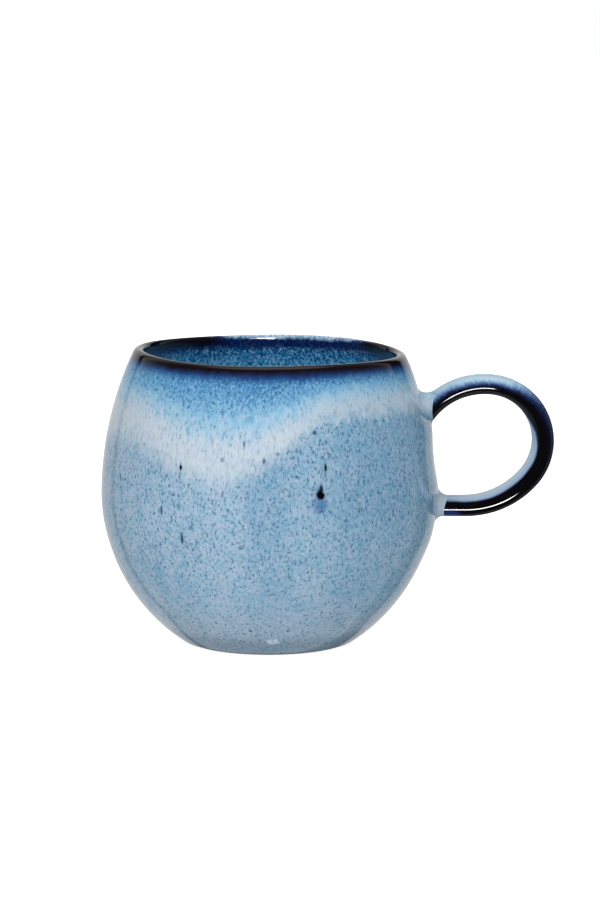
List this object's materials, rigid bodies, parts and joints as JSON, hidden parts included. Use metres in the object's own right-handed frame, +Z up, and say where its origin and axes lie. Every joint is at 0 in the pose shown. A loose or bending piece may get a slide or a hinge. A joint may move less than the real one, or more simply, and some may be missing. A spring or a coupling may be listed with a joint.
{
  "type": "ceramic mug",
  "caption": "Ball-shaped stoneware mug with a rounded dark rim, an open ring handle and a speckled blue reactive glaze.",
  "frame": {"origin": "centre of the foot ring's resting plane, on the cup's axis", "axes": "+Z up along the cup's axis, +X towards the handle, which lies in the XZ plane"},
  "size_m": [0.1286, 0.095, 0.0836],
  "materials": {
    "stoneware": "unglazed, fine matt clay",
    "body_glaze": "glossy reactive glaze, light blue with fine dark speckle, a white cloud band and iron spots",
    "rim_glaze": "glossy, dark brown breaking to cobalt blue",
    "inner_glaze": "glossy, speckled teal blue",
    "handle_glaze": "glossy, near-black cobalt with light blue feathering on top"
  },
  "bodies": {
    "root": {"stoneware_cup": "stoneware", "stoneware_handle": "stoneware", "upper_slip_joint": "stoneware", "lower_slip_joint": "stoneware", "body_glaze": "body_glaze", "rim_glaze": "rim_glaze", "inner_glaze": "inner_glaze", "handle_glaze": "handle_glaze", "base_glaze": "body_glaze"}
  },
  "joints": []
}
